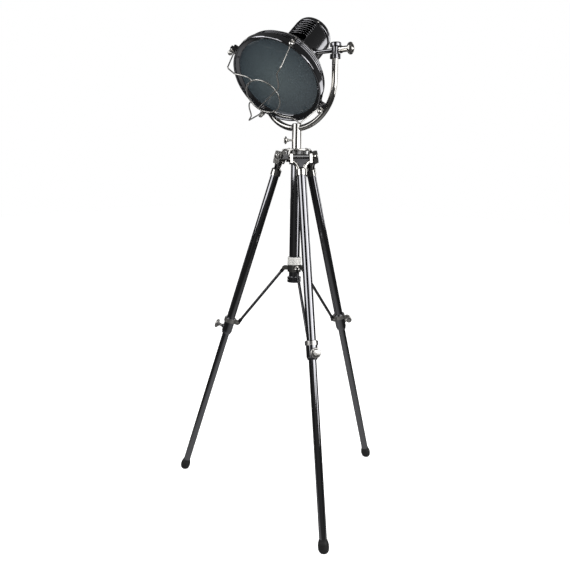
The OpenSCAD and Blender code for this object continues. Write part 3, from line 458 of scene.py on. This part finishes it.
print("finishes:", len(finishes), "special:", len(special))

# %% [markdown]
# ## Two node trees for what follows a path or repeats
# Bent wire is a circle carried along a line, and a ring of screws is one screw turned about an axis again and again.
# Both could be written as loops over points. Geometry Nodes do the same with the sizes as named inputs, and the
# result is turned into a plain mesh at the end.

# %% Begin and end a tree
def new_tree(name, sizes):
    tree = bpy.data.node_groups.new(name, "GeometryNodeTree")
    tree.interface.new_socket("Geometry", in_out="INPUT", socket_type="NodeSocketGeometry")
    for label, kind in sizes:
        tree.interface.new_socket(label, in_out="INPUT", socket_type=kind)
    tree.interface.new_socket("Geometry", in_out="OUTPUT", socket_type="NodeSocketGeometry")
    return tree, add(tree, "NodeGroupInput").outputs


def close_tree(tree, geometry, finish):
    real = add(tree, "GeometryNodeRealizeInstances", {"Geometry": geometry})
    painted = add(tree, "GeometryNodeSetMaterial", {"Geometry": real.outputs[0], "Material": finish})
    add(tree, "NodeGroupOutput", {"Geometry": painted.outputs[0]})
    print("tree:", tree.name, "nodes:", len(tree.nodes))


# %% Bent wire
bent_wire, given = new_tree("bent_wire", [
    ("Wire radius", "NodeSocketFloat"), ("Sides", "NodeSocketInt"), ("Finish", "NodeSocketMaterial"),
])
line = add(bent_wire, "GeometryNodeMeshToCurve", {"Mesh": given["Geometry"]})
section = add(bent_wire, "GeometryNodeCurvePrimitiveCircle", {
    "Resolution": given["Sides"], "Radius": given["Wire radius"],
})
tube = add(bent_wire, "GeometryNodeCurveToMesh", {
    "Curve": line.outputs[0], "Profile Curve": section.outputs[0], "Fill Caps": True,
})
smooth = add(bent_wire, "GeometryNodeSetShadeSmooth", {"Geometry": tube.outputs[0]})
close_tree(bent_wire, smooth.outputs[0], given["Finish"])

# %% Turned copies
turned_copies, given = new_tree("turned_copies", [
    ("Count", "NodeSocketInt"), ("Step", "NodeSocketFloat"), ("Finish", "NodeSocketMaterial"),
])
spots = add(turned_copies, "GeometryNodePoints", {"Count": given["Count"]})
number = add(turned_copies, "GeometryNodeInputIndex")
angle = add(turned_copies, "ShaderNodeMath", {0: number.outputs[0], 1: given["Step"]}, operation="MULTIPLY")
turn = add(turned_copies, "ShaderNodeCombineXYZ", {"Z": angle.outputs[0]})
copies = add(turned_copies, "GeometryNodeInstanceOnPoints", {
    "Points": spots.outputs[0], "Instance": given["Geometry"], "Rotation": turn.outputs[0],
})
close_tree(turned_copies, copies.outputs[0], given["Finish"])

# %% Grow a mesh through a tree
def grow(mesh, tree, sizes):
    seed = bpy.data.objects.new("seed", mesh)
    scene.collection.objects.link(seed)
    modifier = seed.modifiers.new("grow", "NODES")
    modifier.node_group = tree
    for item in tree.interface.items_tree:
        if item.in_out == "INPUT" and item.name in sizes:
            modifier[item.identifier] = sizes[item.name]
    done = bpy.data.meshes.new_from_object(seed.evaluated_get(bpy.context.evaluated_depsgraph_get()))
    bpy.data.objects.remove(seed)
    return done


def path_mesh(points, closed=False):
    mesh = bpy.data.meshes.new("path")
    edges = [(i, i + 1) for i in range(len(points) - 1)]
    mesh.from_pydata([Vector(p) for p in points], edges + ([(len(points) - 1, 0)] if closed else []), [])
    return mesh


print("sizes of bent_wire:", [item.name for item in bent_wire.interface.items_tree if item.in_out == "INPUT"])

# %% Join finished meshes into one piece that rides on a body
def form_mesh(name, form):
    mesh = bpy.data.meshes.new(name)
    form.to_mesh(mesh)
    form.free()
    return mesh


def piece(name, placed, body, finish, stands_for=()):
    form = bmesh.new()
    for mesh, place in placed:
        part = mesh.copy()
        part.transform(place)
        form.from_mesh(part)
        bpy.data.meshes.remove(part)
    mesh = form_mesh(name, form)
    mesh.materials.clear()
    mesh.materials.append(finish)
    for face in mesh.polygons:
        face.material_index = 0
    made = bpy.data.objects.new(name, mesh)
    scene.collection.objects.link(made)
    if stands_for:
        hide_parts(*stands_for)
    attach(made, body)
    print(name, "faces:", len(mesh.polygons))
    return made


# %% [markdown]
# ## Place of the head
# The head's pieces are round about the lamp's own axis. They could be drawn straight where they hang, but it is
# simpler to draw them upright about z, and to let one matrix tilt and lift them onto the trunnions.

# %% Place of the head
trunnion_height = 1.528
axis_over_trunnions = 0.005
in_head = (
    Matrix.Translation((0, 0, trunnion_height))
    @ Matrix.Rotation(math.pi / 2 + head_tilt, 4, "X")
    @ Matrix.Translation((0, axis_over_trunnions, 0))
)
print("head hangs at", [round(c, 3) for c in in_head.to_translation()])

# %% [markdown]
# ## Wire guard
# Four bent wires stand out of the bezel's lugs, turn inwards with a sharp corner, and swing round to a small ring in
# front of the lens. A thinner straight wire crosses the ring. The solid has the same path with few sides. Smoothing
# that solid would round its corners away, so a round wire on the same path replaces it, with a bead of silver solder
# at each joint.

# %% Path of one guard wire
lug_radius = 0.16035
corner_inset = 0.018
corner_radius = lug_radius - corner_inset
ring_radius = 0.060
lug_plane, knee_plane, corner_plane, guard_plane = 0.1332, 0.154, 0.226, 0.230
bend, bend_steps = 0.006, 8
twist = math.radians(6)
swirl = math.radians(30)
straight = 0.3
first_step, swing_steps = 5, 45


def round_corner(before, corner, after):
    start = corner + bend * (before - corner).normalized()
    end = corner + bend * (after - corner).normalized()
    shares = [k / bend_steps for k in range(bend_steps + 1)]
    return [(1 - t) ** 2 * start + 2 * t * (1 - t) * corner + t ** 2 * end for t in shares]


foot = Vector((lug_radius, 0, lug_plane))
knee = Vector((lug_radius, 0, knee_plane))
corner = Vector((corner_radius * math.cos(twist), -corner_radius * math.sin(twist), corner_plane))
swing = []
for k in range(first_step, swing_steps + 1):
    s = k / swing_steps
    e = max(0.0, (s - straight) / (1 - straight))
    r = corner_radius + (ring_radius - corner_radius) * s
    a = -twist - (swirl - twist) * e * e * (3 - 2 * e)
    swing.append(Vector((r * math.cos(a), r * math.sin(a), corner_plane + (guard_plane - corner_plane) * s)))
spoke = [foot] + round_corner(foot, knee, corner) + round_corner(knee, corner, swing[0]) + swing
print("points on a guard wire:", len(spoke))

# %% Wire guard
wire = {"Wire radius": 0.00225, "Sides": 16, "Finish": brushed_nickel}
thin_wire = {**wire, "Wire radius": 0.00175}
four_round = {"Count": 4, "Step": math.radians(90), "Finish": brushed_nickel}
eighth = Matrix.Rotation(math.radians(45), 4, "Z")
spoke_bead, chord_bead = 0.0034, 0.003
chord_ends = (15, -135)


def circle_points(radius, count, height=0.0):
    turns = [math.tau * k / count for k in range(count)]
    return [(radius * math.cos(a), radius * math.sin(a), height) for a in turns]


def solder(size, place):
    form = bmesh.new()
    bmesh.ops.create_icosphere(form, subdivisions=3, radius=size, matrix=Matrix.Translation(place))
    for face in form.faces:
        face.smooth = True
    return form_mesh("solder", form)


spokes = grow(grow(path_mesh(spoke), bent_wire, wire), turned_copies, four_round)
joints = grow(solder(spoke_bead, swing[-1]), turned_copies, four_round)
ring = grow(path_mesh(circle_points(ring_radius, 90, guard_plane), closed=True), bent_wire, wire)
chord = [
    (ring_radius * math.cos(math.radians(a)), ring_radius * math.sin(math.radians(a)), guard_plane)
    for a in chord_ends
]
thin = grow(path_mesh(chord), bent_wire, thin_wire)
piece(
    "guard_wires",
    [(spokes, in_head @ eighth), (joints, in_head @ eighth), (ring, in_head), (thin, in_head),
     (solder(chord_bead, chord[1]), in_head)],
    "head", brushed_nickel, ["wire_guard"],
)

# %% [markdown]
# ## Can
# Air leaves the can through louvres: the press cuts a slit and pushes the sheet behind it out into a hood. Separate
# louvres could be set on the wall by a node tree, but real ones are the wall itself, so the can is made as one sheet.
# Rings of points run along its axis, the last rings before each slit rise into hoods, and the next ring starts again
# on the wall. Where no hood rises, the two rings meet and are joined. Solidify then gives the sheet its thickness.

# %% Rows of the can's sheet
can_radius = 0.063
can_back, can_front = -0.104, 0.0240
flange_radius, flange_start = 0.067, 0.0196
hood_rise, hood_length = 0.0034, 0.006
hood_shares = (0.0, 0.2, 0.4, 0.6, 0.8, 0.95, 1.0)
first_slit, slit_pitch, slit_count = -0.081, 0.010, 7

bands = []
start = can_back
for slit in [first_slit + slit_pitch * k for k in range(slit_count)]:
    rows = [(start, can_radius, 0.0)]
    for share in hood_shares:
        rows.append((slit - hood_length * (1 - share), can_radius, hood_rise * share))
    bands.append(rows)
    start = slit
bands.append([
    (start, can_radius, 0.0), (flange_start, can_radius, 0.0),
    (flange_start, flange_radius, 0.0), (can_front, flange_radius, 0.0),
])
print("bands of sheet:", len(bands))

# %% Louvred can
hood_half = math.radians(48)
hood_end = math.radians(7)
columns = 240
weld = 0.00001
sharp_fold = math.radians(40)
sheet_wall = 0.0015


def hood_share(angle):
    away = min(abs((angle - side + math.pi) % math.tau - math.pi) for side in (math.pi / 2, -math.pi / 2))
    inside = min(max((hood_half - away) / hood_end, 0.0), 1.0)
    return inside * inside * (3 - 2 * inside)


form = bmesh.new()
for rows in bands:
    rings = []
    for along, radius, rise in rows:
        ring_points = []
        for k in range(columns):
            a = math.tau * k / columns
            r = radius + rise * hood_share(a)
            ring_points.append(form.verts.new((r * math.cos(a), r * math.sin(a), along)))
        rings.append(ring_points)
    for low, high in zip(rings, rings[1:]):
        for k in range(columns):
            n = (k + 1) % columns
            form.faces.new((low[k], low[n], high[n], high[k]))
bmesh.ops.remove_doubles(form, verts=form.verts, dist=weld)
for face in form.faces:
    face.smooth = True
can_sheet = form_mesh("can_sheet", form)
can_sheet.set_sharp_from_angle(angle=sharp_fold)
can = piece("louvred_can", [(can_sheet, in_head)], "head", spun_black_nickel, ["rear_can"])
wall_of_can = can.modifiers.new("sheet", "SOLIDIFY")
wall_of_can.thickness = sheet_wall
wall_of_can.offset = -1.0

# %% [markdown]
# ## Screws
# Round-headed slotted screws hold the can to its flange, the end cap to the can and the top plate to the hub. A slot
# could be cut from a dome, but cutting leaves ragged faces on something so small. So a head is two rounded halves
# with a gap between them, on a thin round base that sinks into the sheet.

# %% One slotted screw
slot_share, base_share, base_rise = 0.3, 0.96, 0.6
# Height and radius of the rounded head, from its foot to its top, as shares of the whole.
head_profile = ((-0.3, 1.0), (0.3, 1.0), (0.65, 0.9), (0.9, 0.68), (1.0, 0.45))


def slotted_head(radius, rise):
    slot = radius * slot_share
    form = bmesh.new()
    for side in (-1, 1):
        half = []
        for height, share in head_profile:
            r = radius * share
            edge = math.acos(slot / 2 / r)
            for k in range(13):
                a = edge * (k / 6 - 1)
                half.append(form.verts.new((side * r * math.cos(a), r * math.sin(a), rise * height)))
        bmesh.ops.convex_hull(form, input=half)
    base = radius * base_share
    bmesh.ops.create_cone(form, cap_ends=True, segments=24, radius1=base, radius2=base, depth=rise * base_rise)
    return form_mesh("slotted_head", form)


small_head = slotted_head(0.0032, 0.0018)
large_head = slotted_head(0.0045, 0.0022)
print("faces of a screw:", len(small_head.polygons))

# %% Rings of screws
cap_radius, cap_line, flange_line = 0.0664, -0.099, 0.012
plate_ring, plate_top = 0.034, 1.226
can_turn = Matrix.Rotation(math.radians(20), 4, "Z")
plate_turn = Matrix.Rotation(math.radians(21), 4, "Z")
slot_turn = Matrix.Rotation(0.6, 4, "Z")


def outward(radius, along):
    return Matrix.Translation((radius, 0, along)) @ Matrix.Rotation(math.pi / 2, 4, "Y") @ slot_turn


def screw_ring(head, place, count):
    seed = head.copy()
    seed.transform(place)
    return grow(seed, turned_copies, {"Count": count, "Step": math.tau / count, "Finish": bright_nickel})


can_screws = screw_ring(small_head, outward(can_radius, flange_line), 4)
cap_screws = screw_ring(small_head, outward(cap_radius, cap_line), 4)
piece(
    "can_screws", [(can_screws, in_head @ can_turn), (cap_screws, in_head @ eighth)],
    "head", bright_nickel,
)
plate_screws = screw_ring(large_head, Matrix.Translation((plate_ring, 0, plate_top)), 3)
piece("plate_screws", [(plate_screws, plate_turn)], "tripod", bright_nickel)

# %% [markdown]
# ## Feet
# The rubber feet are moulded with three grip rings. A bump in the material would vanish at the outline, so each ring
# is a thin round bead bent into a circle about its leg.

# %% Grip rings on the feet
rubber_radius = 0.0170
ring_depths = (1.2325, 1.2370, 1.2415)
grip = {"Wire radius": 0.0008, "Sides": 10, "Finish": foot_rubber}
grip_ring = grow(path_mesh(circle_points(rubber_radius, 60), closed=True), bent_wire, grip)
for leg, place in enumerate(leg_frames):
    piece(
        f"foot_{leg + 1}_rings",
        [(grip_ring, place @ Matrix.Translation((0, 0, -down))) for down in ring_depths],
        f"leg_{leg + 1}_lower", foot_rubber,
    )

# %% [markdown]
# ## Soft castings
# The forks are cast and buffed, and the solid has them as flat facets. A new mesh could replace them, but their shape
# is right, so only the shading changes: edges that turn sharply are kept, and every gentler edge becomes part of one
# smooth skin.

# %% Smooth the forks
sharp_edge = math.radians(35)
smooth_skin, given = new_tree("smooth_skin", [("Sharp angle", "NodeSocketFloat")])
joined = add(smooth_skin, "GeometryNodeMergeByDistance", {"Geometry": given["Geometry"], "Distance": weld})
plain = add(smooth_skin, "GeometryNodeRemoveAttribute", {"Geometry": joined.outputs[0], "Name": "custom_normal"})
faces = add(smooth_skin, "GeometryNodeSetShadeSmooth", {"Geometry": plain.outputs[0]}, domain="FACE")
bends = add(smooth_skin, "GeometryNodeInputMeshEdgeAngle")
sharp = add(smooth_skin, "ShaderNodeMath", {
    0: bends.outputs["Unsigned Angle"], 1: given["Sharp angle"],
}, operation="GREATER_THAN")
edges = add(smooth_skin, "GeometryNodeSetShadeSmooth", {
    "Geometry": faces.outputs[0], "Selection": sharp.outputs[0], "Shade Smooth": False,
}, domain="EDGE")
add(smooth_skin, "NodeGroupOutput", {"Geometry": edges.outputs[0]})
angle_input = next(item.identifier for item in smooth_skin.interface.items_tree if item.name == "Sharp angle")
forks = [nodes[f"leg_{leg + 1}_fork"] for leg in range(3)]
for fork in forks:
    modifier = fork.modifiers.new("smooth_skin", "NODES")
    modifier.node_group = smooth_skin
    modifier[angle_input] = sharp_edge
print("smoothed forks:", len(forks))
